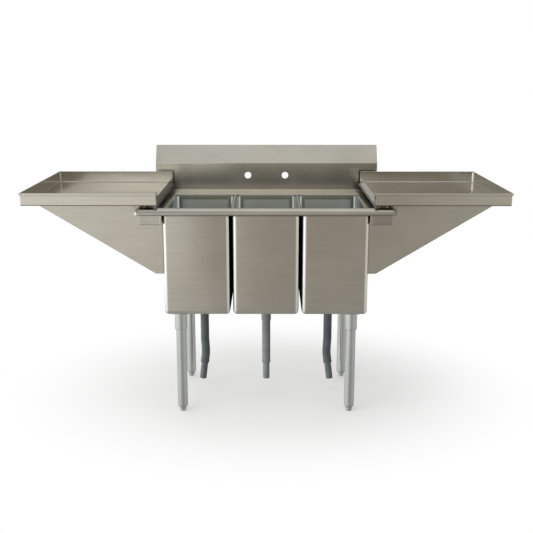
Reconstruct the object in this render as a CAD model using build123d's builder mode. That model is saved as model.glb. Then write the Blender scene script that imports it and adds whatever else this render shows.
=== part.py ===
from build123d import *
import os
from math import cos, radians, sin, tan

# Three compartment sink with two lift-off drainboards.
# Millimetres. Origin on the floor, under the middle of the overall box.
# +X to the user's right, +Y towards the wall, +Z up.

os.makedirs("parts", exist_ok=True)

# ---- Driving dimensions -------------------------------------------------

overall_depth = 736.0  # front of the rolled rim to the back of the splash
front_y = -overall_depth / 2
sheet = 1.5  # 16 gauge, sink body
board_sheet = 1.2  # 18 gauge, drainboard trays
half_body = 508.3  # half the width over the rolled rim
rim_top_z = 865.3
ledge_z = 840.0  # flat ledges around the bowls
bowl_land_z = 837.5  # sunken land that the bowls open from
splash_y = front_y + 686.5  # front face of the vertical splash panel

# Rolled rim on the front and both sides
rim_width = 31.5
rim_outer_r = 21.5
rim_inner_r = 9.5
rim_corner_r = 24.0
rim_skirt_z = 838.5
rim_lip = 16.0
pocket_corner_r = 14.0  # front corners of the pocket behind the rim
clear_height = 60.0  # tall enough for any cut to break out through the top
skirt_trim = 5.0  # overrun of the cut that trims the skirt

# Bowls
bowl_pitch = 273.5
bowl_width = 261.5
bowl_front_y = front_y + 36.0
bowl_length = 505.5
bowl_bottom_z = 430.5
bowl_top_z = 829.0
bowl_corner_r = 16.0
bowl_bend_r = 3.0
bowl_centres = {"left": -bowl_pitch, "centre": 0.0, "right": bowl_pitch}
bowl_back_y = bowl_front_y + bowl_length
bowl_mid_y = (bowl_front_y + bowl_back_y) / 2
bowls_half = bowl_pitch + bowl_width / 2
land_half = bowls_half + 3.0
land_back_y = bowl_back_y + 5.5

# Splash
splash_foot_z = 805.0
splash_bend_z = 959.6
splash_top_z = 1038.8
splash_top_y = splash_y + 46.5
splash_foot_turn = 18.0  # flange turned back along the foot
splash_lip = 22.0  # turned down along the back
splash_bend_r = 3.0
splash_edge_r = 1.0
end_plate_cut = 60.0  # height of the cut-off corner of an end plate
end_plate_gap = 2.0  # between an end plate's foot and the end of the foot flange
tap_spacing = 170.5
tap_hole_r = 15.2
tap_z = 904.3

# Side channels under the side ledges
channel_in_x = 410.0
channel_out_x = 494.0
channel_bottom_z = 797.0
channel_front_y = front_y + 27.0
channel_back_y = splash_y - 40.0
channel_corner_r = 3.0
channel_floor_r = 2.5

# Drainboard trays
tray_out_x = 943.0
tray_in_x = 421.5
tray_floor_z = 877.0
tray_top_z = 925.6
tray_front_y = front_y + 2.4
tray_back_y = front_y + 650.7
hem_height = 9.5
hem_proud = 2.4

# Bracket plates that carry the trays
bracket_bottom_z = 598.0
bracket_foot_x = 435.0
bracket_tip_x = 890.0
bracket_flange = 25.0
bracket_front_y = front_y + 46.5
bracket_rear_y = front_y + 520.0
bracket_in_x = half_body + 0.5  # clear of the rolled rim
tie_x = 800.0
angle_leg = 25.0  # legs of the tie that joins two brackets
angle_corner_r = 1.2

# Legs
leg_x = 345.5
leg_front_y = front_y + 90.0
leg_rear_y = front_y + 492.0
tube_r = 41.3 / 2
tube_wall = 1.5
tube_bottom_z = 25.0
socket_r = 25.0
socket_bottom_z = 355.0
leg_plate = 3.0

# Bullet feet
insert_length = 40.0
stem_r = 8.0
stem_clearance = 0.05
foot_r = 14.2
foot_nose_r = 10.5
foot_nose_bevel = 1.8
foot_top_z = 17.0
foot_top_bevel = 1.0
shoulder_proud = 1.5  # how far the shoulder's foot stands out round the foot's top
shoulder_height = 6.5
shoulder_bevel = 0.6
stem_bevel = 1.5

# Drains
drain_y = front_y + 370.0
drain_hole_r = 45.0
strainer_r = 43.5
drain_pitch = 271.0  # the outer drains sit a little inside the middle of their bowls
drain_centres = {"left": -drain_pitch, "centre": 0.0, "right": drain_pitch}
spigot_r = 14.0
spigot_bottom_z = 356.0

# Hoses
hose_r = 18.4
hose_top_z = 380.0
hose_bend_z = 230.0  # where an outer hose begins to lean
hose_end_z = 111.0
cuff_end_z = 36.0
cuff_r = 15.0
cuff_bore_r = 11.5
hose_lean = 7.0  # degrees that an outer hose's foot points outward


def finish(builder, label):
    """Name a finished piece and write it."""
    builder.part.label = label
    export_step(builder.part, f"parts/{label}.step")


# ---- Deck with rolled rim ------------------------------------------------


def deck_form(inset):
    """The solid under the deck's top skin, with the skin moved inward by inset."""
    skirt_z = bowl_top_z - inset
    half = half_body - inset
    front = front_y + inset
    pocket_half = half_body - rim_width + inset
    pocket_front = front_y + rim_width - inset
    top = rim_top_z - inset
    with BuildPart() as form:
        with BuildSketch(Plane.XY.offset(skirt_z)):
            with Locations((0, (front + splash_y) / 2)):
                Rectangle(2 * half, splash_y - front)
        extrude(amount=top - skirt_z)
        front_corners = form.edges().filter_by(Axis.Z).group_by(Axis.Y)[0]
        fillet(front_corners, rim_corner_r - inset)
        top_edges = form.edges().group_by(Axis.Z)[-1]
        back_edge = top_edges.sort_by(Axis.Y)[-1]
        fillet([e for e in top_edges if e is not back_edge], rim_outer_r - inset)

        # Pocket behind the rim, down to the ledges
        with BuildSketch(Plane.XY.offset(ledge_z - inset)) as pocket:
            with Locations((0, pocket_front)):
                Rectangle(2 * pocket_half, overall_depth, align=(Align.CENTER, Align.MIN))
            fillet(pocket.vertices().group_by(Axis.Y)[0], pocket_corner_r + inset)
        extrude(amount=clear_height, mode=Mode.SUBTRACT)
        brim = [
            e
            for e in form.edges().filter_by_position(Axis.Z, top - 0.01, top + 0.01)
            if e.bounding_box().max.X < pocket_half + 0.1
            and e.bounding_box().min.X > -pocket_half - 0.1
        ]
        fillet(brim, rim_inner_r - inset)

        # Sunken land around the bowls
        with BuildSketch(Plane.XY.offset(bowl_land_z - inset)):
            with Locations((0, pocket_front)):
                Rectangle(
                    2 * (land_half + inset),
                    land_back_y + inset - pocket_front,
                    align=(Align.CENTER, Align.MIN),
                )
        extrude(amount=clear_height, mode=Mode.SUBTRACT)

        # Three wells with bent-down edges
        for x in bowl_centres.values():
            with BuildSketch(Plane.XY.offset(skirt_z)):
                with Locations((x, bowl_mid_y)):
                    RectangleRounded(
                        bowl_width - 2 * sheet + 2 * inset,
                        bowl_length - 2 * sheet + 2 * inset,
                        bowl_corner_r - sheet + inset,
                    )
            extrude(amount=clear_height, mode=Mode.SUBTRACT)
        land = bowl_land_z - inset
        well_rims = [
            e
            for e in form.edges().filter_by_position(Axis.Z, land - 0.01, land + 0.01)
            if e.bounding_box().max.Y < bowl_back_y + inset
            and e.bounding_box().min.Y > bowl_front_y + sheet - inset - 0.01
            and abs(e.center().X) < bowls_half
        ]
        fillet(well_rims, bowl_bend_r - inset)
    return form.part


with BuildPart() as deck:
    add(deck_form(0))
    add(deck_form(sheet), mode=Mode.SUBTRACT)
    # Trim the skirt back to the underside of the rim, outside the wells' collars
    with BuildSketch(Plane.XY.offset(bowl_top_z - skirt_trim)):
        with Locations((0, front_y)):
            Rectangle(2 * half_body, overall_depth, align=(Align.CENTER, Align.MIN))
        with Locations((0, front_y + rim_width - sheet)):
            Rectangle(
                2 * (land_half + sheet),
                land_back_y + 2 * sheet - front_y - rim_width,
                align=(Align.CENTER, Align.MIN),
                mode=Mode.SUBTRACT,
            )
    extrude(amount=rim_skirt_z - bowl_top_z + skirt_trim, mode=Mode.SUBTRACT)
    # Turned-in lip under the rolled rim
    with BuildSketch(Plane.XY.offset(rim_skirt_z)) as lip:
        with Locations((0, front_y)):
            Rectangle(2 * half_body, splash_y - front_y, align=(Align.CENTER, Align.MIN))
        fillet(lip.vertices().group_by(Axis.Y)[0], rim_corner_r)
        with Locations((0, front_y + rim_lip)):
            Rectangle(
                2 * (half_body - rim_lip),
                overall_depth,
                align=(Align.CENTER, Align.MIN),
                mode=Mode.SUBTRACT,
            )
    extrude(amount=sheet)
finish(deck, "deck")


# ---- Splash --------------------------------------------------------------

return_y = front_y + overall_depth
with BuildPart() as backsplash:
    with BuildSketch(Plane.YZ.offset(-half_body)):
        with BuildLine():
            Polyline(
                (splash_y + splash_foot_turn, splash_foot_z),
                (splash_y, splash_foot_z),
                (splash_y, splash_bend_z),
                (splash_top_y, splash_top_z),
                (return_y, splash_top_z),
                (return_y, splash_top_z - splash_lip),
            )
            offset(amount=sheet, side=Side.RIGHT, kind=Kind.INTERSECTION)
        make_face()
    extrude(amount=2 * half_body)
    bends = backsplash.edges().filter_by(Axis.X)
    fillet(bends.sort_by_distance((0, splash_y, splash_bend_z))[0], splash_bend_r)
    fillet(bends.sort_by_distance((0, splash_top_y, splash_top_z))[0], splash_edge_r)
    with Locations(Plane.XZ.offset(-splash_y)):
        with Locations((-tap_spacing / 2, tap_z), (tap_spacing / 2, tap_z)):
            Cylinder(tap_hole_r, 4 * sheet, mode=Mode.SUBTRACT)
finish(backsplash, "backsplash")


def splash_end(side):
    """Plate that closes one end of the splash, behind the front skin."""
    slope = (splash_top_y - splash_y) / (splash_top_z - splash_bend_z)
    low = splash_bend_z - sheet * 0.3  # where the inner face of the skin begins to lean
    inner = splash_y + sheet
    high = splash_top_z - sheet
    high_y = inner + (high - low) * slope
    with BuildPart() as plate:
        with BuildSketch(Plane.YZ.offset(side * (half_body - sheet / 2))):
            with BuildLine():
                Polyline(
                    (inner, splash_foot_z + sheet),
                    (inner, low),
                    (high_y, high),
                    (return_y - sheet, high),
                    (return_y - sheet, splash_foot_z + end_plate_cut),
                    (inner + splash_foot_turn - end_plate_gap, splash_foot_z + sheet),
                    close=True,
                )
            make_face()
        extrude(amount=sheet / 2, both=True)
    return plate


for label, side in {"left": -1, "right": 1}.items():
    finish(splash_end(side), f"splash_end_{label}")


# ---- Bowls ---------------------------------------------------------------

bowl_floor_r = 15.9  # all round the floor, just under the upright corners' radius
recess_r = 58.0
recess_depth = 5.0
recess_z = bowl_bottom_z - recess_depth  # underside of the drain recess
seat_z = recess_z + sheet  # floor of the drain recess


def bowl(x, drain_x):
    """A deep welded bowl, open at the top, with a stamped recess for its strainer."""
    with BuildPart() as shell:
        with BuildSketch(Plane.XY.offset(bowl_bottom_z)):
            with Locations((x, bowl_mid_y)):
                RectangleRounded(bowl_width, bowl_length, bowl_corner_r)
        extrude(amount=bowl_top_z - bowl_bottom_z)
        fillet(shell.edges().group_by(Axis.Z)[0], bowl_floor_r)
        offset(amount=-sheet, openings=shell.faces().sort_by(Axis.Z)[-1])
        with BuildSketch(Plane.XY.offset(recess_z)):
            with Locations((drain_x, drain_y)):
                Circle(recess_r)
        extrude(amount=recess_depth)
        with BuildSketch(Plane.XY.offset(seat_z)):
            with Locations((drain_x, drain_y)):
                Circle(recess_r - sheet)
        extrude(amount=2 * recess_depth, mode=Mode.SUBTRACT)
        with BuildSketch(Plane.XY.offset(recess_z)):
            with Locations((drain_x, drain_y)):
                Circle(drain_hole_r)
        extrude(amount=2 * recess_depth, mode=Mode.SUBTRACT)
    return shell


for label, x in bowl_centres.items():
    finish(bowl(x, drain_centres[label]), f"bowl_{label}")


# ---- Side channels -------------------------------------------------------


def side_channel(side):
    """Open-topped box channel, closed at its front, that stiffens a side ledge."""
    mid_x = side * (channel_in_x + channel_out_x) / 2
    mid_y = (channel_front_y + channel_back_y) / 2
    with BuildPart() as channel:
        with BuildSketch(Plane.XY.offset(channel_bottom_z)):
            with Locations((mid_x, mid_y)):
                Rectangle(channel_out_x - channel_in_x, channel_back_y - channel_front_y)
        extrude(amount=rim_skirt_z - channel_bottom_z)
        fillet(channel.edges().filter_by(Axis.Z), channel_corner_r)
        fillet(channel.edges().group_by(Axis.Z)[0], channel_floor_r)
        offset(amount=-sheet, openings=channel.faces().sort_by(Axis.Z)[-1])
    return channel


for label, side in {"left": -1, "right": 1}.items():
    finish(side_channel(side), f"side_channel_{label}")


# ---- Drainboard brackets -------------------------------------------------


def bracket(side, y, turn):
    """Triangular plate that stands out from a bowl; turn is the way its flanges fold."""
    top = tray_floor_z - sheet
    with BuildPart() as plate:
        with BuildSketch(Plane.XZ.offset(-y)):
            with BuildLine():
                Polyline(
                    (side * bowls_half, bracket_bottom_z),
                    (side * bracket_foot_x, bracket_bottom_z),
                    (side * bracket_tip_x, top),
                    (side * bracket_in_x, top),
                    (side * bracket_in_x, rim_skirt_z),
                    (side * channel_out_x, rim_skirt_z),
                    (side * channel_out_x, channel_bottom_z),
                    (side * bowls_half, channel_bottom_z),
                    close=True,
                )
            make_face()
        extrude(amount=-turn * sheet)
        flange_y = y + turn * bracket_flange / 2
        top_mid = side * (bracket_in_x + bracket_tip_x) / 2
        with Locations((top_mid, flange_y, top + sheet / 2)):
            Box(bracket_tip_x - bracket_in_x, bracket_flange, sheet)
        wall_height = channel_bottom_z - bracket_bottom_z
        wall_x = side * (bowls_half + sheet / 2)
        with Locations((wall_x, flange_y, bracket_bottom_z + wall_height / 2)):
            Box(sheet, bracket_flange, wall_height)
    return plate


def bracket_tie(side):
    """Angle that joins a front and a rear bracket under the tray."""
    start = bracket_front_y + sheet
    length = bracket_rear_y - sheet - start
    top = tray_floor_z - sheet
    with BuildPart() as tie:
        with BuildSketch(Plane.XZ.offset(-start)):
            with BuildLine():
                Polyline(
                    (side * tie_x, top),
                    (side * (tie_x + angle_leg), top),
                    (side * (tie_x + angle_leg), top - sheet),
                    (side * (tie_x + sheet), top - sheet),
                    (side * (tie_x + sheet), top - angle_leg),
                    (side * tie_x, top - angle_leg),
                    close=True,
                )
            make_face()
        extrude(amount=-length)
        corner = tie.edges().filter_by(Axis.Y)
        fillet(corner.sort_by_distance((side * tie_x, 0, top))[0], angle_corner_r)
    return tie


for label, side in {"left": -1, "right": 1}.items():
    finish(bracket(side, bracket_front_y, 1), f"bracket_front_{label}")
    finish(bracket(side, bracket_rear_y, -1), f"bracket_rear_{label}")
    finish(bracket_tie(side), f"bracket_tie_{label}")


# ---- Drainboard trays ----------------------------------------------------

chute_start_x = 448.0  # where the floor begins to bend down
chute_r = 32.0
chute_angle = 38.0  # degrees below level at the sink end
chute_foot_r = 2.0
bead_r = 1.3
back_in_x = tray_in_x + 6.0
return_depth = 44.0  # length of the folded corner over the front rim
wall_foot = 9.0  # width of a wall's end where it stands on the rim
wall_rise = 4.0  # slope from that foot back up to the floor
tray_corner_r = 3.2


def tray_walls(side, inset):
    """Block of the tray up to its lip, moved inward by inset, from the chute outward."""
    reach = tray_out_x - chute_start_x - inset
    with BuildPart() as block:
        with BuildSketch(Plane.XY.offset(tray_floor_z + inset)):
            with Locations(
                (side * (chute_start_x + reach / 2), (tray_front_y + tray_back_y) / 2)
            ):
                Rectangle(reach, tray_back_y - tray_front_y - 2 * inset)
        extrude(amount=tray_top_z - tray_floor_z + inset)
        outer = block.edges().filter_by(Axis.Z).sort_by(Axis.X, reverse=side < 0)[-2:]
        fillet(outer, tray_corner_r - inset)
    return block.part


def chute_profile(side):
    """Points down the chute's top skin: floor, middle and end of the bend, and foot."""
    slope = radians(chute_angle)
    top = tray_floor_z + board_sheet
    bend = (chute_start_x - chute_r * sin(slope), top - chute_r * (1 - cos(slope)))
    mid = (chute_start_x - chute_r * sin(slope / 2), top - chute_r * (1 - cos(slope / 2)))
    foot_z = rim_top_z + chute_foot_r
    run = (bend[1] - foot_z) / tan(slope)
    foot = (bend[0] - run, foot_z)
    return [(side * x, z) for x, z in ((chute_start_x, top), mid, bend, foot)]


def tray(side):
    """Drainboard tray: floor, three hemmed walls, and a chute over the side of the sink."""
    start, mid, bend, foot = chute_profile(side)
    length = tray_back_y - tray_front_y
    with BuildPart() as board:
        add(tray_walls(side, 0))
        add(tray_walls(side, board_sheet), mode=Mode.SUBTRACT)
        # Open the sink end of the block
        mid_y = (tray_front_y + tray_back_y) / 2
        low_z = tray_floor_z + board_sheet
        with Locations((side * chute_start_x, mid_y, low_z)):
            Box(
                4 * board_sheet,
                length - 2 * board_sheet,
                tray_top_z - low_z,
                align=(Align.CENTER, Align.CENTER, Align.MIN),
                mode=Mode.SUBTRACT,
            )
        # Chute
        with BuildSketch(Plane.XZ.offset(-tray_front_y)):
            with BuildLine():
                ThreePointArc(start, mid, bend)
                Line(bend, foot)
                offset(
                    amount=board_sheet,
                    side=Side.LEFT if side > 0 else Side.RIGHT,
                )
            make_face()
        extrude(amount=-length)
        # Rolled edge and two stiffening beads along the chute
        ridge = ((foot[0] + bend[0]) / 2, (foot[1] + bend[1]) / 2)
        for (x, z), r in ((foot, chute_foot_r), (ridge, bead_r), (bend, bead_r)):
            with BuildSketch(Plane.XZ.offset(-tray_front_y)):
                with Locations((x, z)):
                    Circle(r)
            extrude(amount=-length)
        # Front and back walls run on to the sink end, and follow the chute down
        for y, end_x, grow in (
            (tray_front_y, tray_in_x, 1),
            (tray_back_y, back_in_x, -1),
        ):
            with BuildSketch(Plane.XZ.offset(-y)):
                with BuildLine():
                    Polyline(
                        (side * chute_start_x, tray_top_z),
                        (side * end_x, tray_top_z),
                        (side * end_x, rim_top_z),
                        (side * (end_x + wall_foot), rim_top_z),
                        (side * (end_x + wall_foot + wall_rise), tray_floor_z),
                        (side * chute_start_x, tray_floor_z),
                        close=True,
                    )
                make_face()
            extrude(amount=-grow * board_sheet)
        # Corner folded round the end of the front wall, over the rim
        with Locations(
            (
                side * (tray_in_x + board_sheet / 2),
                tray_front_y + return_depth / 2,
                (rim_top_z + tray_top_z) / 2,
            )
        ):
            Box(board_sheet, return_depth, tray_top_z - rim_top_z)
        # Hems folded outward along the three walls
        hem_mid_z = tray_top_z - hem_height / 2
        hem_out_x = tray_out_x + hem_proud
        for y, in_x, grow in (
            (tray_front_y, tray_in_x, -1),
            (tray_back_y, back_in_x, 1),
        ):
            with Locations(
                (side * (in_x + hem_out_x) / 2, y + grow * hem_proud / 2, hem_mid_z)
            ):
                Box(hem_out_x - in_x, hem_proud, hem_height)
        with Locations(
            (
                side * (tray_out_x + hem_proud / 2),
                (tray_front_y + tray_back_y) / 2,
                hem_mid_z,
            )
        ):
            Box(hem_proud, length + 2 * hem_proud, hem_height)
    return board


for label, side in {"left": -1, "right": 1}.items():
    finish(tray(side), f"drainboard_{label}")


# ---- Legs ----------------------------------------------------------------

leg_places = {
    "front_left": (-leg_x, leg_front_y),
    "front_right": (leg_x, leg_front_y),
    "rear_left": (-leg_x, leg_rear_y),
    "rear_right": (leg_x, leg_rear_y),
}
screw_z = socket_bottom_z + 22.0
screw_r = 3.0
screw_length = 5.0
hex_r = 1.3  # key recess of a grub screw
pad_size = 70.0  # square plate between socket and bowl
pad_corner_r = 6.0
socket_edge_r = 2.0
leg_top_z = bowl_bottom_z - leg_plate


def leg_socket(x, y):
    """Sleeve with a square plate welded under a bowl."""
    with BuildPart() as socket:
        with BuildSketch(Plane.XY.offset(leg_top_z)):
            with Locations((x, y)):
                RectangleRounded(pad_size, pad_size, pad_corner_r)
        extrude(amount=leg_plate)
        with BuildSketch(Plane.XY.offset(socket_bottom_z)):
            with Locations((x, y)):
                Circle(socket_r)
        extrude(amount=leg_top_z - socket_bottom_z)
        fillet(socket.edges().group_by(Axis.Z)[0], socket_edge_r)
        with BuildSketch(Plane.XY.offset(socket_bottom_z)):
            with Locations((x, y)):
                Circle(tube_r)
        extrude(amount=leg_top_z - socket_bottom_z, mode=Mode.SUBTRACT)
        with Locations(Location((x, y + socket_r, screw_z), (90, 0, 0))):
            Cylinder(screw_r, 3 * (socket_r - tube_r), mode=Mode.SUBTRACT)
    return socket


def leg_tube(x, y):
    """Round tube that fills its socket."""
    with BuildPart() as tube:
        with BuildSketch(Plane.XY.offset(tube_bottom_z)):
            with Locations((x, y)):
                Circle(tube_r)
                Circle(tube_r - tube_wall, mode=Mode.SUBTRACT)
        extrude(amount=leg_top_z - tube_bottom_z)
    return tube


def foot_insert(x, y):
    """Bush pressed into the end of the tube, with a tapered shoulder below it."""
    bore = stem_r + stem_clearance
    with BuildPart() as insert:
        with BuildSketch(Plane.XZ):
            with BuildLine():
                Polyline(
                    (bore, foot_top_z),
                    (foot_r + shoulder_proud, foot_top_z),
                    (tube_r - shoulder_bevel, foot_top_z + shoulder_height),
                    (tube_r, tube_bottom_z),
                    (tube_r - tube_wall, tube_bottom_z),
                    (tube_r - tube_wall, tube_bottom_z + insert_length),
                    (bore, tube_bottom_z + insert_length),
                    close=True,
                )
            make_face()
        revolve(axis=Axis.Z)
    insert.part = insert.part.moved(Location((x, y, 0)))
    return insert


def bullet_foot(x, y):
    """Levelling foot: a blunt tapered nose on a long stem that screws into the bush."""
    stem_top_z = tube_bottom_z + insert_length + stem_bevel
    with BuildPart() as foot:
        with BuildSketch(Plane.XZ):
            with BuildLine():
                Polyline(
                    (0, 0),
                    (foot_nose_r, 0),
                    (foot_nose_r + foot_nose_bevel, foot_nose_bevel),
                    (foot_r, foot_top_z - foot_top_bevel),
                    (foot_r - foot_top_bevel, foot_top_z),
                    (stem_r, foot_top_z),
                    (stem_r, stem_top_z - stem_bevel),
                    (stem_r - stem_bevel, stem_top_z),
                    (0, stem_top_z),
                    close=True,
                )
            make_face()
        revolve(axis=Axis.Z)
    foot.part = foot.part.moved(Location((x, y, 0)))
    return foot


for label, (x, y) in leg_places.items():
    finish(leg_socket(x, y), f"leg_socket_{label}")
    finish(leg_tube(x, y), f"leg_tube_{label}")
    finish(foot_insert(x, y), f"foot_insert_{label}")
    finish(bullet_foot(x, y), f"bullet_foot_{label}")

# One grub screw at the back of each socket, tight on the tube
with BuildPart() as set_screws:
    for x, y in leg_places.values():
        screw_y = y + tube_r + screw_length / 2
        with Locations(Location((x, screw_y, screw_z), (90, 0, 0))):
            Cylinder(screw_r, screw_length)
            with Locations((0, 0, -screw_length / 2)):
                Cylinder(hex_r, screw_length / 2, mode=Mode.SUBTRACT)
finish(set_screws, "leg_set_screws")


# ---- Drains --------------------------------------------------------------

flange_r = 55.5
flange_edge = 0.6  # thickness of the flange at its rim
flange_bevel = 1.0
flange_top_z = seat_z + 2.0
cup_wall = 2.0
cup_bottom_z = seat_z - 38.5
cup_bevel = 6.0
cup_slope_gain = 1.5  # keeps the wall of the sloping bottom as thick as the rest
neck_r = spigot_r + 4.0  # shoulder that the hose butts against
gasket_height = 3.0
gasket_r = 56.0
gasket_z = recess_z - gasket_height
nut_height = 12.0
nut_r = 50.0
nut_lugs = 8
lug_depth = 9.0
lug_width = 14.0
lug_corner_r = 2.0
basket_r = 39.5
basket_sheet = 1.2
basket_lip_r = 46.0
basket_floor_z = cup_bottom_z + 14.0
basket_bevel = 4.0  # between the floor and the wall
knob_r = 9.0
knob_edge = 1.0
knob_rim_height = 2.5
knob_cone_height = 3.0
knob_stem_r = 3.0
knob_foot = 2.0  # flare where the stem joins the floor
knob_top_z = flange_top_z + 13.0
perforation_r = 2.4
perforations = {28.0: 16, 18.0: 10}  # circle radius: number of holes


def strainer_body(x):
    """Waste fitting: flange in the bowl, threaded cup below it, and a hose spigot."""
    with BuildPart() as body:
        with BuildSketch(Plane.XZ):
            with BuildLine():
                Polyline(
                    (strainer_r - cup_wall, flange_top_z),
                    (flange_r - flange_bevel, flange_top_z),
                    (flange_r, seat_z + flange_edge),
                    (flange_r, seat_z),
                    (strainer_r, seat_z),
                    (strainer_r, cup_bottom_z + cup_bevel),
                    (neck_r, hose_top_z + cup_wall),
                    (neck_r, hose_top_z),
                    (spigot_r, hose_top_z),
                    (spigot_r, spigot_bottom_z),
                    (spigot_r - cup_wall, spigot_bottom_z),
                    (spigot_r - cup_wall, hose_top_z + 2 * cup_wall),
                    (strainer_r - cup_wall, cup_bottom_z + cup_bevel + cup_slope_gain),
                    close=True,
                )
            make_face()
        revolve(axis=Axis.Z)
    body.part = body.part.moved(Location((x, drain_y, 0)))
    return body


def ring(x, z, height, inner_r, outer_r):
    """Plain flat ring round a drain."""
    with BuildPart() as band:
        with BuildSketch(Plane.XY.offset(z)):
            with Locations((x, drain_y)):
                Circle(outer_r)
                Circle(inner_r, mode=Mode.SUBTRACT)
        extrude(amount=height)
    return band


def lock_nut(x):
    """Lugged ring that clamps the strainer body to the bowl."""
    with BuildPart() as nut:
        with BuildSketch(Plane.XY.offset(gasket_z - nut_height)):
            with Locations((x, drain_y)):
                Circle(nut_r)
                with PolarLocations(nut_r, nut_lugs):
                    RectangleRounded(lug_depth, lug_width, lug_corner_r)
                Circle(strainer_r, mode=Mode.SUBTRACT)
        extrude(amount=nut_height)
    return nut


def strainer_basket(x):
    """Perforated basket with a lip that sits on the strainer flange and a knob to lift it."""
    inner_r = basket_r - basket_sheet
    inner_floor_z = basket_floor_z + basket_sheet
    inner_bevel = basket_bevel - basket_sheet / 2
    with BuildPart() as basket:
        with BuildSketch(Plane.XZ):
            with BuildLine():
                Polyline(
                    (0, basket_floor_z),
                    (basket_r - basket_bevel, basket_floor_z),
                    (basket_r, basket_floor_z + basket_bevel),
                    (basket_r, flange_top_z),
                    (basket_lip_r, flange_top_z),
                    (basket_lip_r, flange_top_z + basket_sheet),
                    (inner_r, flange_top_z + basket_sheet),
                    (inner_r, inner_floor_z + inner_bevel),
                    (inner_r - inner_bevel, inner_floor_z),
                    (0, inner_floor_z),
                    close=True,
                )
            make_face()
        revolve(axis=Axis.Z)
        with BuildSketch(Plane.XY.offset(basket_floor_z)):
            for circle_r, count in perforations.items():
                with PolarLocations(circle_r, count):
                    Circle(perforation_r)
        extrude(amount=basket_sheet, mode=Mode.SUBTRACT)
        stem_foot_z = basket_floor_z + basket_sheet / 2
        knob_high_z = knob_top_z - knob_edge
        knob_low_z = knob_high_z - knob_rim_height
        with BuildSketch(Plane.XZ):
            with BuildLine():
                Polyline(
                    (0, stem_foot_z),
                    (knob_stem_r + knob_foot, stem_foot_z),
                    (knob_stem_r, inner_floor_z + knob_foot),
                    (knob_stem_r, knob_low_z - 2 * knob_cone_height),
                    (knob_r - knob_edge, knob_low_z - knob_cone_height),
                    (knob_r, knob_low_z),
                    (knob_r - knob_edge, knob_high_z),
                    (0, knob_top_z),
                    close=True,
                )
            make_face()
        revolve(axis=Axis.Z)
    basket.part = basket.part.moved(Location((x, drain_y, 0)))
    return basket


for label, x in drain_centres.items():
    finish(strainer_body(x), f"strainer_body_{label}")
    finish(ring(x, gasket_z, gasket_height, strainer_r, gasket_r), f"strainer_gasket_{label}")
    finish(lock_nut(x), f"lock_nut_{label}")
    finish(strainer_basket(x), f"strainer_basket_{label}")


# ---- Hoses ---------------------------------------------------------------

hose_sides = {"left": -1, "centre": 0, "right": 1}
hose_tail = 34.0  # straight length that holds the neck of the cuff
hose_swing = 2.5  # how far an outer hose's end hangs outside its drain
lip_height = 6.0
lip_r = hose_r + 0.5
collar_r = 21.0
collar_gap = 4.0  # below the shoulder of the strainer body
outer_collar_z = 358.0
centre_collar_z = 308.0
neck_length = 28.0  # of the cuff, inside the hose
neck_show = 1.5  # and below the hose's end
lip_overlap = 1.0  # the lip's inner edge lies inside the hose wall
cuff_edge_r = 1.0


def tail_direction(side):
    """Direction in which the end of a hose points."""
    lean = radians(hose_lean) * side
    return Vector(sin(lean), 0, -cos(lean))


def tail_end(side, x):
    """Middle of a hose's lower end."""
    return Vector(x + hose_swing * side, drain_y, hose_end_z)


def drain_hose(side, x):
    """Hose from the spigot down to its lip; an outer hose bends outward near its end."""
    end = tail_end(side, x)
    along = tail_direction(side)
    tail = end - along * hose_tail
    top = Vector(x, drain_y, hose_top_z)
    knee = Vector(x, drain_y, hose_bend_z)
    with BuildPart() as hose:
        with BuildLine():
            Line(top, knee)
            if side:
                Spline(knee, tail, tangents=(Vector(0, 0, -1), along))
            else:
                Line(knee, tail)
            Line(tail, end)
        with BuildSketch(Plane(origin=top, z_dir=(0, 0, -1))):
            Circle(hose_r)
            Circle(spigot_r, mode=Mode.SUBTRACT)
        sweep()
        with BuildSketch(Plane(origin=end - along * lip_height, z_dir=along)):
            Circle(lip_r)
            Circle(hose_r - lip_overlap, mode=Mode.SUBTRACT)
        extrude(amount=lip_height)
    return hose


def hose_cuff(side, x):
    """Stepped tube end: its narrow neck is pushed into the hose, the rest hangs below."""
    end = tail_end(side, x)
    along = tail_direction(side)
    shoulder = end + along * neck_show
    length = (hose_end_z - cuff_end_z) / cos(radians(hose_lean * side)) - neck_show
    with BuildPart() as cuff:
        with BuildSketch(Plane(origin=end - along * neck_length, z_dir=along)):
            Circle(spigot_r)
            Circle(cuff_bore_r, mode=Mode.SUBTRACT)
        extrude(amount=neck_length + neck_show)
        with BuildSketch(Plane(origin=shoulder, z_dir=along)):
            Circle(cuff_r)
            Circle(cuff_bore_r, mode=Mode.SUBTRACT)
        extrude(amount=length)
        fillet(cuff.edges().filter_by(GeomType.CIRCLE).group_by(Axis.Z)[0], cuff_edge_r)
    return cuff


for label, side in hose_sides.items():
    x = drain_centres[label]
    finish(drain_hose(side, x), f"drain_hose_{label}")
    finish(hose_cuff(side, x), f"hose_cuff_{label}")
    collar_z = outer_collar_z if side else centre_collar_z
    collar_height = hose_top_z - collar_gap - collar_z
    finish(ring(x, collar_z, collar_height, hose_r, collar_r), f"hose_collar_{label}")
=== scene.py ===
import math

import bmesh
import bpy
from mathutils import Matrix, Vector


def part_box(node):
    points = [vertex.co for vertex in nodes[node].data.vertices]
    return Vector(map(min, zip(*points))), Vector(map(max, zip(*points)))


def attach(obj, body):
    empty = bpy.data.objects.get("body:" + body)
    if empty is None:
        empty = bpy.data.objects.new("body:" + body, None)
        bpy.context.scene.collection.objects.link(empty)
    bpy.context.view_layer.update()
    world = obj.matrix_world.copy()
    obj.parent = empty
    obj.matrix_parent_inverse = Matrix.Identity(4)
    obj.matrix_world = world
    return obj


# Looks, small bends, light and camera for the three compartment sink. Metres, in the row's own
# frame. The CAD pieces are never moved or reshaped.

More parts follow.
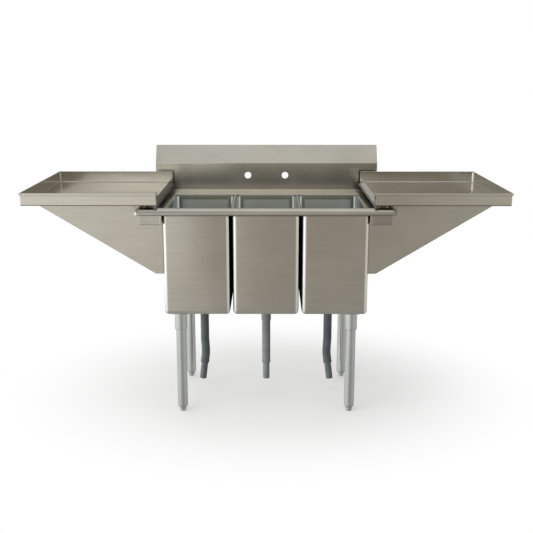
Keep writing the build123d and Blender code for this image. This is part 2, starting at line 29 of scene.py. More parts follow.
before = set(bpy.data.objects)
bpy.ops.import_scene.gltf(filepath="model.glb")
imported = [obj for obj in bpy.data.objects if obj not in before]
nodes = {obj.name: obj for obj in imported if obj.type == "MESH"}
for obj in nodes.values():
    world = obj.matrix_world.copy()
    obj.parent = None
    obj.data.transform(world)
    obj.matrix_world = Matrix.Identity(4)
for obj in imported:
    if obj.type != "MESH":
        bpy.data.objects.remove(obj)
scene = bpy.context.scene
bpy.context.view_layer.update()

# ---- Places on the sink, from the frame --------------------------------------

BOARD_SHEET = 0.0012  # thickness of a tray's sheet
SPLASH_BEND_DROP = 0.079  # from the top of the splash down to its bend
CHUTE_INSET = 0.0265  # from a tray's inner end to where its floor turns down into the chute
RIM_DEPTH = 0.026  # front to back over the rolled rim

ledge_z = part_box("bowl_centre")[1].z
splash_low, splash_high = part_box("backsplash")
bend_z = splash_high.z - SPLASH_BEND_DROP
bowls_back_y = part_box("bowl_centre")[1].y
divider_x = (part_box("bowl_centre")[1].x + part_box("bowl_right")[0].x) / 2
bowls_end_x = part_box("bowl_right")[1].x
rim_back_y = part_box("deck")[0].y + RIM_DEPTH
skirt_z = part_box("side_channel_right")[1].z
chute_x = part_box("drainboard_right")[0].x + CHUTE_INSET
floor_top_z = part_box("bracket_front_right")[1].z + BOARD_SHEET

# ---- Shader building -------------------------------------------------------


class Shader:
    """A short way to write node trees."""

    def __init__(self, tree):
        self.tree = tree
        tree.nodes.clear()

    def add(self, kind, inputs=None, **settings):
        node = self.tree.nodes.new(kind)
        for key, value in settings.items():
            setattr(node, key, value)
        for key, value in (inputs or {}).items():
            self.plug(node.inputs[key], value)
        return node

    def plug(self, socket, value):
        if isinstance(value, bpy.types.NodeSocket):
            self.tree.links.new(value, socket)
        else:
            socket.default_value = value

    def math(self, operation, a, b=0.0):
        return self.add("ShaderNodeMath", {0: a, 1: b}, operation=operation).outputs[0]

    def times(self, first, *others):
        for other in others:
            first = self.math("MULTIPLY", first, other)
        return first

    def plus(self, a, b):
        return self.math("ADD", a, b)

    def minus(self, a, b):
        return self.math("SUBTRACT", a, b)

    def absolute(self, a):
        return self.math("ABSOLUTE", a)

    def vector(self, operation, a, b=(0, 0, 0)):
        node = self.add("ShaderNodeVectorMath", {0: a, 1: b}, operation=operation)
        scalar = operation in ("DOT_PRODUCT", "LENGTH", "DISTANCE")
        return node.outputs["Value" if scalar else "Vector"]

    def scaled(self, a, factor):
        node = self.add("ShaderNodeVectorMath", {0: a, "Scale": factor}, operation="SCALE")
        return node.outputs["Vector"]

    def xyz(self, a):
        node = self.add("ShaderNodeSeparateXYZ", {0: a})
        return node.outputs["X"], node.outputs["Y"], node.outputs["Z"]

    def combine(self, x, y, z):
        return self.add("ShaderNodeCombineXYZ", {"X": x, "Y": y, "Z": z}).outputs[0]

    def span(self, value, low, high, to_low=0.0, to_high=1.0, smooth=True):
        inputs = {
            "Value": value,
            "From Min": low,
            "From Max": high,
            "To Min": to_low,
            "To Max": to_high,
        }
        kind = "SMOOTHSTEP" if smooth else "LINEAR"
        node = self.add("ShaderNodeMapRange", inputs, interpolation_type=kind)
        return node.outputs["Result"]

    def noise(self, place, scale, detail=3.0, roughness=0.5):
        inputs = {"Vector": place, "Scale": scale, "Detail": detail, "Roughness": roughness}
        return self.add("ShaderNodeTexNoise", inputs).outputs["Fac"]

    def ramp(self, value, stops):
        node = self.add("ShaderNodeValToRGB", {"Fac": value})
        elements = node.color_ramp.elements
        while len(elements) > 1:
            elements.remove(elements[-1])
        for count, (position, colour) in enumerate(stops):
            element = elements[0] if count == 0 else elements.new(position)
            element.position = position
            element.color = (*colour, 1.0)
        return node.outputs["Color"]

    def mix(self, factor, a, b, blend="MIX"):
        node = self.add("ShaderNodeMix", data_type="RGBA", blend_type=blend)
        for socket, value in ((node.inputs[0], factor), (node.inputs[6], a), (node.inputs[7], b)):
            self.plug(socket, value if not isinstance(value, tuple) else (*value[:3], 1.0))
        return node.outputs[2]

    def dimmed(self, colour, factor):
        return self.mix(1.0, colour, self.combine(factor, factor, factor), "MULTIPLY")

    def bump(self, height, distance, normal=None):
        inputs = {"Height": height, "Distance": distance, "Strength": 1.0}
        if normal is not None:
            inputs["Normal"] = normal
        return self.add("ShaderNodeBump", inputs).outputs["Normal"]

    def place(self):
        return self.add("ShaderNodeTexCoord").outputs["Object"]

    def facing_out(self):
        return self.add("ShaderNodeNewGeometry").outputs["Normal"]

    def within_box(self):
        """Place as a share of the piece's box, 0 to 1 along each side."""
        return self.add("ShaderNodeTexCoord").outputs["Generated"]

    def rounded(self, radius):
        """Normal of the surface as if its edges had this radius."""
        return self.add("ShaderNodeBevel", {"Radius": radius}, samples=4).outputs["Normal"]

    def end_in(self, inputs):
        """End a material's tree in one surface shader."""
        shell = self.add("ShaderNodeBsdfPrincipled", inputs)
        self.add("ShaderNodeOutputMaterial", {"Surface": shell.outputs[0]})


def material(name):
    """A new material and its empty shader."""
    made = bpy.data.materials.new(name)
    made.use_nodes = True
    return made, Shader(made.node_tree)


# ---- The room that the steel mirrors -----------------------------------------

# Tones in front of the sink and below the horizon, by how far a direction points to the right
# (-1 left, 1 right)
FRONT_TONES = (
    (-1.0, (1.30, 1.30, 1.27)),
    (-0.55, (1.12, 1.12, 1.09)),
    (-0.30, (0.95, 0.93, 0.88)),
    (-0.125, (0.84, 0.81, 0.76)),
    (-0.085, (0.58, 0.53, 0.49)),
    (-0.050, (0.38, 0.335, 0.295)),
    (0.02, (0.37, 0.325, 0.29)),
    (0.083, (0.38, 0.34, 0.30)),
    (0.16, (0.34, 0.30, 0.265)),
    (0.27, (0.47, 0.45, 0.40)),
    (0.55, (0.56, 0.55, 0.51)),
    (1.0, (0.60, 0.60, 0.57)),
)
# The same, a little above the horizon
UPPER_TONES = (
    (-1.0, (0.95, 0.95, 0.93)),
    (-0.30, (0.50, 0.49, 0.47)),
    (-0.22, (0.66, 0.65, 0.62)),
    (-0.17, (1.30, 1.29, 1.22)),
    (-0.12, (1.15, 1.14, 1.08)),
    (0.0, (1.05, 1.03, 0.97)),
    (0.07, (0.90, 0.87, 0.80)),
    (0.13, (0.46, 0.41, 0.36)),
    (0.25, (0.38, 0.33, 0.29)),
    (0.45, (0.24, 0.22, 0.19)),
    (1.0, (0.24, 0.22, 0.20)),
)
# Behind the sink, above the horizon
REAR_TONES = (
    (-0.30, (0.43, 0.43, 0.41)),
    (-0.18, (0.42, 0.42, 0.40)),
    (-0.11, (0.36, 0.355, 0.34)),
    (0.0, (0.40, 0.385, 0.36)),
    (0.13, (0.215, 0.20, 0.175)),
    (0.30, (0.21, 0.195, 0.17)),
)
# By how far a direction points up
CEILING_TONES = (
    (0.30, (0.40, 0.38, 0.34)),
    (0.60, (0.42, 0.40, 0.37)),
    (0.82, (0.52, 0.52, 0.50)),
    (0.94, (0.74, 0.76, 0.76)),
)
# By how far a direction points to the right
FLOOR_TONES = (
    (-1.0, (0.72, 0.73, 0.73)),
    (-0.80, (0.72, 0.73, 0.73)),
    (-0.45, (0.50, 0.50, 0.49)),
    (-0.15, (0.37, 0.37, 0.36)),
    (0.10, (0.28, 0.28, 0.27)),
    (0.40, (0.28, 0.28, 0.27)),
    (0.75, (0.40, 0.41, 0.41)),
    (1.0, (0.46, 0.47, 0.48)),
)
HORIZON_TONE = (0.12, 0.10, 0.08)
WHITE = (1.0, 1.0, 1.0)
BLACK = (0.0, 0.0, 0.0)


def room(s, direction):
    """Colour of the studio seen in a direction: bright on the left, pale ceiling, dim floor."""
    x, y, z = s.xyz(direction)
    across = s.span(x, -1.0, 1.0, smooth=False)

    def by_side(tones):
        return s.ramp(across, [(0.5 + 0.5 * place, tone) for place, tone in tones])

    level = s.mix(s.span(z, -0.255, -0.30), by_side(FRONT_TONES), by_side(FLOOR_TONES))
    # Paler low down in front, and at the far right just under the horizon
    level = s.mix(s.span(z, -0.215, -0.27, 0.0, 0.09), level, (0.9, 0.9, 0.88))
    pale_side = s.times(s.span(z, -0.19, -0.155), s.span(x, 0.08, 0.16), 0.24)
    level = s.mix(pale_side, level, (1.0, 0.97, 0.90))
    skirting = s.times(s.span(z, -0.125, -0.09), s.span(z, 0.06, -0.02), 0.5)
    level = s.mix(skirting, level, HORIZON_TONE)
    upper = s.mix(s.span(y, 0.1, 0.4), by_side(UPPER_TONES), by_side(REAR_TONES))
    level = s.mix(s.span(z, -0.01, 0.10), level, upper)
    # The ceiling comes lower over the front than over the back
    rise = s.plus(z, s.span(y, 0.1, -0.1, 0.0, 0.10))
    return s.mix(s.span(rise, 0.26, 0.36), level, s.ramp(z, CEILING_TONES))


def studio_world():
    """Mirrors show the room, matte surfaces get a fill from the left, the camera sees white."""
    world = bpy.data.worlds.new("studio")
    scene.world = world
    world.use_nodes = True
    s = Shader(world.node_tree)
    direction = s.add("ShaderNodeTexCoord").outputs["Generated"]
    ray = s.add("ShaderNodeLightPath")
    fill = s.ramp(
        s.span(s.xyz(direction)[0], -1.0, 1.0),
        ((0.0, (1.45, 1.45, 1.44)), (0.5, WHITE), (1.0, (0.62, 0.62, 0.63))),
    )
    tone = s.mix(ray.outputs["Is Glossy Ray"], fill, room(s, direction))
    tone = s.mix(ray.outputs["Is Camera Ray"], tone, WHITE)
    back = s.add("ShaderNodeBackground", {"Color": tone, "Strength": 1.0})
    s.add("ShaderNodeOutputWorld", {"Surface": back.outputs[0]})


studio_world()

# ---- Finishes ------------------------------------------------------------------

GRAIN_GUIDE = (0.0, 0.15, 1.0)  # the grain runs square to this, so mostly level
# Edges are rounded over this radius in shading and get a painted highlight there
ROUNDED_EDGE_R = 0.0018
SHARP_EDGE_R = 0.0001

def brushed(
    name,
    low=(0.60, 0.575, 0.51),
    high=(0.67, 0.64, 0.575),
    rough=0.21,
    grain=1.0,
    uneven=1.0,
    crown=0.0,
    gap=0.05,
    zones=None,
):
    """Brushed stainless sheet: fine grain, cloudy tone, slightly uneven panels, painted edge highlights.

    zones(s, place, normal, coat) may change what coat holds: tone, roughness, edge radius, glow
    and the share that is metal and not plain grey. A crown bends the sheet outward left to
    right, and gaps narrower than gap get painted shade.
    """
    made, s = material(name)
    place, normal = s.place(), s.facing_out()
    along = s.vector("NORMALIZE", s.vector("CROSS_PRODUCT", GRAIN_GUIDE, normal))
    over = s.vector("CROSS_PRODUCT", normal, along)
    u = s.vector("DOT_PRODUCT", place, along)
    v = s.vector("DOT_PRODUCT", place, over)
    w = s.vector("DOT_PRODUCT", place, normal)
    hair = s.noise(s.combine(s.times(u, 9.0), s.times(v, 1500.0), w), 1.0, 2.0, 0.6)
    band = s.noise(s.combine(s.times(u, 1.6), s.times(v, 150.0), w), 1.0, 3.0, 0.6)
    cloud = s.noise(place, 5.0, 3.0, 0.5)
    patch = s.noise(place, 2.2, 2.0, 0.5)

    tone = s.mix(s.span(cloud, 0.30, 0.70), low, high)
    tone = s.mix(s.span(patch, 0.40, 0.65, 0.0, 0.45), tone, (0.62, 0.63, 0.575))
    tone = s.mix(s.span(band, 0.3, 0.7, 0.0, 0.14 * grain), tone, (0.80, 0.78, 0.73))
    tone = s.mix(s.span(hair, 0.45, 0.75, 0.0, 0.28 * grain), tone, (0.42, 0.40, 0.36))
    rubbed = s.plus(s.times(hair, 0.10 * grain), rough - 0.05 * grain)
    dull = s.minus(s.times(cloud, 0.10), 0.05)
    coat = {
        "tone": tone,
        "roughness": s.plus(rubbed, dull),
        "edge_r": ROUNDED_EDGE_R,
        "glow": (*BLACK, 1.0),
        "metal": 1.0,
    }
    if zones:
        zones(s, place, normal, coat)

    # Painted highlight lightens upper edges, painted shade darkens lower edges and tight gaps
    rounded = s.rounded(coat["edge_r"])
    edge = s.span(s.vector("DOT_PRODUCT", rounded, normal), 0.995, 0.90)
    dip = s.xyz(s.vector("SUBTRACT", rounded, normal))[2]
    lower_edge_shade = s.span(dip, -0.02, -0.15)
    tone = s.mix(s.times(edge, 0.50), coat["tone"], (0.88, 0.87, 0.84))
    tone = s.mix(s.times(lower_edge_shade, 0.75), tone, (0.16, 0.15, 0.13))
    open_air = s.add("ShaderNodeAmbientOcclusion", {"Distance": gap}, samples=6)
    tone = s.dimmed(tone, s.span(open_air.outputs["AO"], 0.10, 0.42, 0.01, 1.0))

    surface = s.bump(patch, 0.003 * uneven, rounded)
    surface = s.bump(cloud, 0.0004 * uneven, surface)
    surface = s.bump(band, 0.00002 * grain, surface)
    surface = s.bump(hair, 0.000005 * grain, surface)
    if crown:
        lean = s.times(s.minus(s.xyz(s.within_box())[0], 0.5), 2 * crown)
        surface = s.vector("NORMALIZE", s.vector("ADD", surface, s.combine(lean, 0.0, 0.0)))
    s.end_in(
        {
            "Base Color": tone,
            "Metallic": coat["metal"],
            "Specular IOR Level": 0.0,
            "Roughness": s.minus(coat["roughness"], s.times(edge, 0.06)),
            "Anisotropic": 0.55,
            "Anisotropic Rotation": 0.25,
            "Tangent": along,
            "Normal": surface,
            "Emission Color": coat["glow"],
            "Emission Strength": 1.0,
        },
    )
    return made


def bowl_zones(s, place, normal, coat):
    """Polished upright corners with a painted highlight, painted shade on limbs, painted bounced light
    inside.
    """
    turned_x, turned_y, _ = s.xyz(normal)
    aside = s.absolute(turned_x)
    # Upright corners: lower roughness for polish, and a paler tone that is a painted highlight
    polish_and_highlight = s.span(s.absolute(s.times(turned_x, turned_y)), 0.08, 0.38)
    coat["tone"] = s.mix(polish_and_highlight, coat["tone"], (0.86, 0.865, 0.84))
    coat["roughness"] = s.minus(coat["roughness"], s.times(polish_and_highlight, 0.10))

    # Painted shade: outside, the sides are darkened where they are seen edge on, and lose their metal
    from_middle = s.vector("SUBTRACT", s.within_box(), (0.5, 0.5, 0.5))
    inward = s.span(s.vector("DOT_PRODUCT", from_middle, normal), 0.05, -0.05)
    facing = s.add("ShaderNodeLayerWeight", {"Blend": 0.5}).outputs["Facing"]
    limb_shade = s.times(s.span(facing, 0.72, 0.93), s.span(inward, 1.0, 0.0), s.span(aside, 0.3, 0.6))
    coat["tone"] = s.mix(limb_shade, coat["tone"], (0.045, 0.045, 0.040))
    coat["metal"] = s.minus(1.0, limb_shade)

    # Painted reflection: the open top shows in the end walls as a paler rectangle with a dark border
    across, _, height = s.xyz(from_middle)
    pale = s.times(s.span(s.absolute(across), 0.41, 0.37), s.span(height, 0.475, 0.455))
    ends = s.span(s.absolute(turned_y), 0.80, 0.97)
    bend = s.times(s.span(aside, 0.06, 0.20), s.span(aside, 0.66, 0.50))
    # Painted shade: a side wall seen edge on is darkened, standing in for the darkness below it mirrors
    edge_on = s.times(s.span(aside, 0.55, 0.75), s.span(facing, 0.70, 0.86))
    rise = s.span(height, 0.0, 0.5)
    border = s.mix(rise, (0.008, 0.008, 0.006), (0.030, 0.031, 0.022))
    rectangle = s.mix(rise, (0.02, 0.02, 0.018), (0.088, 0.090, 0.081))
    sides = s.mix(edge_on, (0.035, 0.036, 0.033), (0.004, 0.004, 0.004))
    # Painted glow inside the bowl, standing in for light bounced about in it
    painted_glow = s.mix(ends, sides, s.mix(pale, border, rectangle))
    # Painted highlight in the inner upright bends
    painted_glow = s.mix(bend, painted_glow, (0.36, 0.41, 0.43))
    end_tone = s.mix(pale, (0.40, 0.41, 0.34), (0.58, 0.60, 0.57))
    inner_tone = s.mix(ends, coat["tone"], end_tone)
    inner_tone = s.mix(edge_on, inner_tone, (0.07, 0.08, 0.08))
    coat["tone"] = s.mix(inward, coat["tone"], inner_tone)
    coat["glow"] = s.mix(inward, BLACK, painted_glow)


def splash_zones(s, place, normal, coat):
    """Painted reflection of the dark bowls: the panel darkens towards its foot and lightens at its bend."""
    across, _, height = s.xyz(place)
    shade = s.times(
        s.span(height, ledge_z, bend_z, 0.36, 1.05, smooth=False),
        s.span(height, bend_z - 0.003, bend_z + 0.003, 1.0, 1.18),
    )
    # Painted light: the left of the panel is lightened, as if by light from the window
    left = s.times(
        s.span(across, -0.10, -0.36, 0.0, 0.60),
        s.span(height, splash_low.z + 0.07, bend_z - 0.02),
        s.span(height, bend_z + 0.002, bend_z),
    )
    shade = s.times(shade, s.plus(left, 1.0))
    seen = s.add("ShaderNodeLightPath").outputs["Is Camera Ray"]
    coat["tone"] = s.dimmed(coat["tone"], s.span(seen, 0.0, 1.0, 1.0, shade))


def deck_zones(s, place, normal, coat):
    """Half-round ridges between the bowls with painted side shade, and painted shade down the rim to its
    skirt.
    """
    across, along, height = s.xyz(place)
    turned_x, _, up = s.xyz(normal)
    off = s.absolute(s.minus(s.absolute(across), divider_x))
    ridge = s.times(
        s.span(off, 0.011, 0.0085),
        s.span(along, bowls_back_y, bowls_back_y - 0.01),
        s.span(along, rim_back_y + 0.004, rim_back_y + 0.008),
    )
    coat["edge_r"] = s.plus(s.times(ridge, 0.006), coat["edge_r"])
    # Painted shade along both sides of each ridge, leaving its middle line bright
    coat["tone"] = s.mix(s.times(ridge, s.span(off, 0.001, 0.004)), coat["tone"], (0.13, 0.13, 0.12))

    # Painted shade: the rim darkens towards its skirt, with a darker line at its foot
    rim = s.span(along, rim_back_y, rim_back_y - 0.004)
    skirt = s.times(
        s.span(height, skirt_z, skirt_z + 0.016, 0.62, 1.0),
        s.span(height, skirt_z + 0.001, skirt_z + 0.003, 0.45, 1.0),
    )
    shade = s.add("ShaderNodeMix", {0: rim, 2: 1.0, 3: skirt}).outputs[0]
    coat["tone"] = s.dimmed(coat["tone"], shade)

    # Painted light: the upward faces of the ledge behind the bowls are made paler
    ledge = s.times(s.span(up, 0.8, 0.95), s.span(along, bowls_back_y - 0.02, bowls_back_y))
    coat["tone"] = s.mix(ledge, coat["tone"], (0.90, 0.87, 0.79))

    # Painted highlight: the rim's left corner glows, as if it caught the window
    corner_glint = s.times(
        s.span(turned_x, -0.60, -0.85),
        s.span(along, rim_back_y - 0.002, rim_back_y - 0.008),
        s.span(height, skirt_z + 0.015, skirt_z + 0.009),
    )
    coat["glow"] = s.mix(corner_glint, BLACK, (0.8, 0.8, 0.78))


def board_zones(s, place, normal, coat):
    """Painted shade on a chute towards the bowls, and a painted dark line along the foot of the walls."""
    across, _, height = s.xyz(place)
    up = s.xyz(normal)[2]
    right = s.span(across, -0.1, 0.1)
    chute = s.times(
        s.span(s.absolute(across), chute_x, chute_x - 0.002),
        s.span(up, 0.2, 0.4),
        s.span(height, floor_top_z + 0.002, floor_top_z),
    )
    # Painted shade on the chute, darker on the left than on the right, and partly grey instead of metal
    chute_shade = s.mix(right, (0.05, 0.05, 0.045), (0.17, 0.165, 0.15))
    coat["tone"] = s.mix(chute, coat["tone"], chute_shade)
    coat["edge_r"] = s.span(chute, 0.0, 1.0, ROUNDED_EDGE_R, SHARP_EDGE_R)
    coat["metal"] = s.minus(1.0, s.times(chute, s.span(right, 0.0, 1.0, 0.80, 0.35)))

    # Painted shade: the right tray's floor is darker than the left one's
    right_floor_shade = s.times(right, s.span(up, 0.90, 0.98))
    coat["tone"] = s.dimmed(coat["tone"], s.span(right_floor_shade, 0.0, 1.0, 1.0, 0.80))

    # Painted shade in the crease along the foot of the walls
    foot = s.times(
        s.span(height, floor_top_z + 0.0030, floor_top_z + 0.0012),
        s.span(s.absolute(up), 0.7, 0.5),
        0.85,
    )
    coat["tone"] = s.mix(foot, coat["tone"], (0.09, 0.085, 0.075))


def bright_zones(s, place, normal, coat):
    """Painted light: beads and upright bends on the right glow brighter than those on the left."""
    across = s.xyz(place)[0]
    right = s.span(across, -0.1, 0.1)
    beads = s.span(s.absolute(across), chute_x + 0.01, chute_x)
    # Painted shade: the beads on the left are darkened
    left_bead_shade = s.times(beads, s.span(right, 1.0, 0.0))
    coat["tone"] = s.mix(left_bead_shade, coat["tone"], (0.24, 0.24, 0.22))
    bend_glow = s.mix(right, (0.10, 0.10, 0.10), (0.30, 0.30, 0.29))
    glow = s.mix(beads, bend_glow, BLACK)
    coat["glow"] = s.mix(s.times(beads, right), glow, (0.28, 0.28, 0.27))


def plain_metal(name, low, high, rough, speckle, depth):
    """Cast, turned or plated metal: mottled tone, small pits, painted highlights on the edges."""
    made, s = material(name)
    place = s.place()
    mottle = s.noise(place, speckle, 4.0, 0.6)
    pits = s.noise(place, speckle * 9, 2.0, 0.6)
    rounded = s.rounded(0.0006)
    edge = s.span(s.vector("DOT_PRODUCT", rounded, s.facing_out()), 0.995, 0.88)
    tone = s.mix(s.span(mottle, 0.35, 0.65), low, high)
    s.end_in(
        {
            "Base Color": s.mix(s.times(edge, 0.5), tone, (0.85, 0.85, 0.83)),
            "Metallic": 1.0,
            "Roughness": s.span(mottle, 0.3, 0.7, rough + 0.06, rough - 0.06),
            "Normal": s.bump(pits, depth, s.bump(mottle, depth * 6, rounded)),
        },
    )
    return made


def moulded(name, low, high, rough, speckle, depth):
    """Moulded plastic or rubber: faint mottling, a fine grain, painted light paler towards the window."""
    made, s = material(name)
    place = s.place()
    mottle = s.noise(place, speckle, 3.0, 0.55)
    grain = s.noise(place, speckle * 30, 2.0, 0.6)
    tone = s.mix(s.span(mottle, 0.35, 0.65), low, high)
    # Painted light and shade: paler on faces turned left towards the window, darker on the others
    painted_side_light = s.span(s.xyz(s.facing_out())[0], 0.75, -0.95, 0.60, 1.9, smooth=False)
    s.end_in(
        {
            "Base Color": s.dimmed(tone, painted_side_light),
            "Roughness": s.span(mottle, 0.3, 0.7, rough - 0.05, rough + 0.05),
            "Specular IOR Level": 0.6,
            "Normal": s.bump(grain, depth),
        },
    )
    return made


TRIM = {"grain": 0.5, "uneven": 0.1}
sheet_finish = brushed("stainless_sheet")
bowl_finish = brushed("stainless_bowl", crown=0.02, gap=0.03, zones=bowl_zones)
deck_finish = brushed("stainless_deck", zones=deck_zones)
splash_finish = brushed("stainless_splash", uneven=0.6, gap=0.008, zones=splash_zones)
board_finish = brushed("stainless_board", rough=0.13, uneven=0.25, gap=0.02, zones=board_zones)
channel_finish = brushed("stainless_bracket", (0.46, 0.44, 0.40), (0.52, 0.50, 0.46), 0.17)
leg_finish = brushed("leg_steel", (0.61, 0.62, 0.61), (0.69, 0.70, 0.69), 0.15, 0.7, 0.2)
bend_finish = brushed("satin_bend", (0.54, 0.52, 0.47), (0.60, 0.58, 0.53), 0.18, **TRIM)
# Polished trim and bends: lower roughness, and pale tones that are painted highlights
trim_finish = brushed("polished_trim_highlight", (0.80, 0.79, 0.76), (0.88, 0.87, 0.85), 0.14, **TRIM)
bright_finish = brushed(
    "polished_bend_highlight", (0.84, 0.83, 0.80), (0.90, 0.89, 0.87), 0.12, zones=bright_zones, **TRIM
)
foot_finish = plain_metal("foot_steel", (0.55, 0.55, 0.54), (0.68, 0.68, 0.67), 0.30, 90.0, 2e-5)
drain_finish = plain_metal("strainer_steel", (0.62, 0.61, 0.58), (0.74, 0.73, 0.70), 0.2, 60.0, 1e-5)
zinc_finish = plain_metal("lock_nut_zinc", (0.45, 0.46, 0.47), (0.58, 0.59, 0.60), 0.42, 120.0, 4e-5)
screw_finish = plain_metal("fastener_steel", (0.30, 0.30, 0.31), (0.42, 0.42, 0.43), 0.35, 200.0, 2e-5)
rubber_finish = moulded("gasket_rubber", (0.018, 0.018, 0.019), (0.03, 0.03, 0.031), 0.7, 60.0, 3e-5)
hose_finish = moulded("hose_grey", (0.050, 0.061, 0.066), (0.068, 0.079, 0.083), 0.36, 25.0, 2e-5)
lit_hose_finish = moulded("hose_grey_lit", (0.150, 0.157, 0.158), (0.180, 0.187, 0.188), 0.36, 25.0, 2e-5)
collar_finish = moulded("hose_fitting_grey", (0.075, 0.083, 0.086), (0.098, 0.106, 0.108), 0.42, 30.0, 3e-5)

SLOT_FINISH = {
    "stainless_satin": sheet_finish,
    "leg_steel": leg_finish,
    "foot_steel": foot_finish,
    "strainer_steel": drain_finish,
    "lock_nut_zinc": zinc_finish,
    "gasket_rubber": rubber_finish,
    "hose_grey": hose_finish,
    "hose_fitting_grey": collar_finish,
    "fastener_steel": screw_finish,
}
# Pieces with a finish of their own, by name without its last word where it has several
NODE_FINISH = {
    "bowl": bowl_finish,
    "drainboard": board_finish,
    "deck": deck_finish,
    "backsplash": splash_finish,
    "side_channel": channel_finish,
}
for name, node in nodes.items():
    slots = [m.name.split(".")[0] for m in node.data.materials]
    node.data.materials.clear()
    for slot in slots:
        node.data.materials.append(NODE_FINISH.get(name.rsplit("_", 1)[0], SLOT_FINISH[slot]))
# Painted light: the centre hose gets a paler copy of the hose grey, as it stands in the light
for name in ("drain_hose_centre", "hose_cuff_centre", "hose_collar_centre"):
    nodes[name].data.materials[0] = lit_hose_finish

# ---- Bends, hems and beads ------------------------------------------------------

SHARP_TURN = math.radians(40)  # faces that meet at more than this keep a sharp edge
BEND_R = 0.003
BEND_STEPS = 8
BEND_START = 0.001  # the level bends start this far outside the chute
CORNER_R = 0.0045
CORNER_TOP_DROP = 0.004  # the upright bends stop this far below the hem
HEM_PROUD = 0.0024  # how far the hem stands out from the wall
HEM_R = 0.0018
HEM_DROP = 0.0011  # middle of the rolled top, below the top of the tray
HEM_REAR_END = 0.008  # the rear of the hem stops this far from the tray's inner end
BEAD_R = 0.0013
BEAD_TURNS = (8, 21, 34)  # degrees round the chute's bend
BEAD_LIFT = 0.0003  # keeps the beads' middles just above the sheet
CHUTE_R = 0.032
ROD_SIDES = 12
BODY_SHEET = 0.0015
FLANGE_DEPTH = 0.008
FLANGE_OVERLAP = 0.003  # over the front of the channel
FLANGE_GAP = 0.0012  # between the flange and the bowl
FLANGE_PROUD = 0.0002
UP = (0, 0, 1)


def piece(name, mesh_code, body, finish):
    """A smooth-shaded piece made by mesh_code(bm), riding on a body."""
    bm = bmesh.new()
    mesh_code(bm)
    bmesh.ops.recalc_face_normals(bm, faces=bm.faces)
    mesh = bpy.data.meshes.new(name)
    bm.to_mesh(mesh)
    bm.free()
    mesh.materials.append(finish)
    mesh.shade_smooth()
    mesh.set_sharp_from_angle(angle=SHARP_TURN)
    made = bpy.data.objects.new(name, mesh)
    scene.collection.objects.link(made)
    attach(made, body)


def join_rings(bm, rings):
    """Closed skin over rings of points that follow one another, with flat ends."""
    loops = [[bm.verts.new(point) for point in ring] for ring in rings]
    count = len(loops[0])
    for first, second in zip(loops, loops[1:]):
        for i in range(count):
            j = (i + 1) % count
            bm.faces.new((first[i], first[j], second[j], second[i]))
    bm.faces.new(loops[0][::-1])
    bm.faces.new(loops[-1])


def cove(bm, start, end, side_a, side_b, radius=BEND_R):
    """Inside bend between two walls: a strip with a hollow quarter-round face.

    Its back reaches a tenth of its radius into both walls.
    """
    section = [(-0.1, -0.1), (1.0, -0.1)]
    for step in range(BEND_STEPS + 1):
        angle = math.pi / 2 * step / BEND_STEPS
        section.append((1 - math.sin(angle), 1 - math.cos(angle)))
    section.append((-0.1, 1.0))
    a, b = Vector(side_a) * radius, Vector(side_b) * radius
    join_rings(bm, [[Vector(corner) + a * u + b * v for u, v in section] for corner in (start, end)])


def rod(bm, path, radius):
    """Round bar along a path of points, mitred where the path turns."""
    points = [Vector(point) for point in path]
    rings = []
    for i, point in enumerate(points):
        before = (point - points[i - 1]).normalized() if i else None
        after = (points[i + 1] - point).normalized() if i + 1 < len(points) else None
        along = ((before or after) + (after or before)).normalized()
        stretch = 1 / max(0.3, along.dot(after or before))
        out = along.cross(Vector(UP)).normalized()
        up = out.cross(along)
        ring = []
        for step in range(ROD_SIDES):
            angle = 2 * math.pi * step / ROD_SIDES
            offset = out * math.cos(angle) * stretch + up * math.sin(angle)
            ring.append(point + offset * radius)
        rings.append(ring)
    join_rings(bm, rings)


def trim_board(label, side):
    """Bends in the corners of a tray, the rolled top of its hem, and beads along its chute."""
    body = f"drainboard_{label}"
    low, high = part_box(body)
    out_x = max(abs(low.x), abs(high.x)) - HEM_PROUD
    in_x = min(abs(low.x), abs(high.x))
    front = low.y + HEM_PROUD + BOARD_SHEET
    rear = high.y - HEM_PROUD - BOARD_SHEET
    wall_x = side * (out_x - BOARD_SHEET)
    wall_top = high.z - CORNER_TOP_DROP
    inward = (-side, 0, 0)

    def bends(bm):
        start_x = side * (chute_x + BEND_START)
        for y, way in ((rear, -1), (front, 1)):
            cove(bm, (start_x, y, floor_top_z), (wall_x, y, floor_top_z), (0, way, 0), UP)
        cove(bm, (wall_x, front, floor_top_z), (wall_x, rear, floor_top_z), inward, UP)

    def corners(bm):
        for y, way in ((front, 1), (rear, -1)):
            foot, top = (wall_x, y, floor_top_z), (wall_x, y, wall_top)
            cove(bm, foot, top, inward, (0, way, 0), CORNER_R)

    def hem(bm):
        z = high.z - HEM_DROP
        y_front, y_rear = low.y + HEM_R, high.y - HEM_R
        x_end = side * (out_x + HEM_PROUD - HEM_R)
        path = [
            (side * (in_x + HEM_R), y_front, z),
            (x_end, y_front, z),
            (x_end, y_rear, z),
            (side * (in_x + HEM_REAR_END), y_rear, z),
        ]
        rod(bm, path, HEM_R)

    def beads(bm):
        for turn in BEAD_TURNS:
            angle = math.radians(turn)
            x = side * (chute_x - CHUTE_R * math.sin(angle))
            z = floor_top_z - CHUTE_R * (1 - math.cos(angle)) + BEAD_LIFT
            rod(bm, [(x, front, z), (x, rear, z)], BEAD_R)

    piece(f"{body}_bends", bends, body, bend_finish)
    piece(f"{body}_corners", corners, body, bright_finish)
    piece(f"{body}_hem_roll", hem, body, trim_finish)
    piece(f"{body}_chute_beads", beads, body, bright_finish)


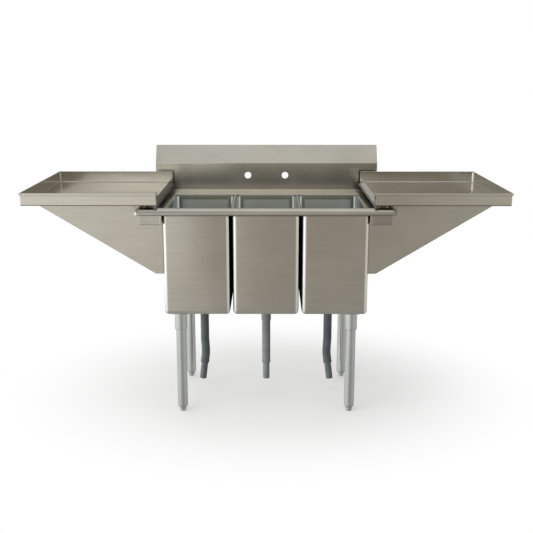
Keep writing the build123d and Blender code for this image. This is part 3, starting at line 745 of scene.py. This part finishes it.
def trim_channel(label, side):
    """Folded flange on the front of a side channel, towards the bowl beside it."""
    channel = f"side_channel_{label}"
    low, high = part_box(channel)
    inner = min(abs(low.x), abs(high.x)) + FLANGE_OVERLAP
    edge = bowls_end_x + FLANGE_GAP
    front = low.y - FLANGE_PROUD

    def flange(bm):
        section = [
            (inner, front),
            (edge, front),
            (edge, front + FLANGE_DEPTH),
            (edge + BODY_SHEET, front + FLANGE_DEPTH),
            (edge + BODY_SHEET, front + BODY_SHEET),
            (inner, front + BODY_SHEET),
        ]
        ends = (low.z + 0.001, high.z - 0.0005)  # just inside the channel's foot and top
        join_rings(bm, [[Vector((side * x, y, z)) for x, y in section] for z in ends])

    piece(f"{channel}_flange", flange, "sink", sheet_finish)


for label, side in (("left", -1), ("right", 1)):
    trim_board(label, side)
    trim_channel(label, side)

# ---- Stage ---------------------------------------------------------------------


FLOOR_SIZE = 40
FLOOR_OVAL = (1.30, 1.05)  # half lengths of the oval over which the floor fades to white
KEY_SIZE = (2.4, 1.8)
KEY_WATTS = 22
KEY_PLACE = (-2.6, -2.4, 2.4)
KEY_AIM = Vector((0.0, 0.0, 0.5))
SENSOR_MM = 36.0
LENS_MM = 57.41
CAMERA_PLACE = (0.0146, -3.5862, 1.4251)
CAMERA_TILT = math.radians(13.73)  # down from level
CAMERA_TURN = 0.0037  # to the left, in radians


def floor():
    """Pale floor that fades to white away from the sink, and mirrors as the room's floor."""
    made, s = material("studio_floor")
    place = s.add("ShaderNodeNewGeometry")
    oval = s.vector("MULTIPLY", place.outputs["Position"], (1 / FLOOR_OVAL[0], 1 / FLOOR_OVAL[1], 1.0))
    near = s.span(s.vector("LENGTH", oval), 0.95, 0.35, 0.0, 0.66)
    matte = s.add("ShaderNodeBsdfDiffuse", {"Color": (0.86, 0.86, 0.86, 1)})
    white = s.add("ShaderNodeEmission", {"Color": (*WHITE, 1), "Strength": 1.0})
    seen = s.add("ShaderNodeMixShader", {0: near, 1: white.outputs[0], 2: matte.outputs[0]})
    direction = s.scaled(place.outputs["Incoming"], -1.0)
    mirrored = s.add("ShaderNodeEmission", {"Color": room(s, direction), "Strength": 1.0})
    glossy = s.add("ShaderNodeLightPath").outputs["Is Glossy Ray"]
    both = s.add("ShaderNodeMixShader", {0: glossy, 1: seen.outputs[0], 2: mirrored.outputs[0]})
    s.add("ShaderNodeOutputMaterial", {"Surface": both.outputs[0]})
    bpy.ops.mesh.primitive_plane_add(size=FLOOR_SIZE)
    plane = bpy.context.object
    plane.name = "studio_floor"
    plane.data.materials.append(made)


def key_light():
    """Soft window light from the upper left, out of the steel's sight."""
    key = bpy.data.lights.new("key", "AREA")
    key.shape = "RECTANGLE"
    key.size, key.size_y = KEY_SIZE
    key.energy = KEY_WATTS
    lamp = bpy.data.objects.new("key", key)
    scene.collection.objects.link(lamp)
    lamp.location = KEY_PLACE
    lamp.rotation_euler = (KEY_AIM - lamp.location).to_track_quat("-Z", "Y").to_euler()
    lamp.visible_glossy = False
    lamp.visible_camera = False


floor()
key_light()

lens = bpy.data.cameras.new("camera")
lens.sensor_width = SENSOR_MM
lens.lens = LENS_MM
lens.clip_start = 0.05
camera = bpy.data.objects.new("camera", lens)
scene.collection.objects.link(camera)
camera.location = CAMERA_PLACE
camera.rotation_euler = (math.pi / 2 - CAMERA_TILT, 0.0, CAMERA_TURN)
scene.camera = camera
scene.view_settings.view_transform = "Standard"
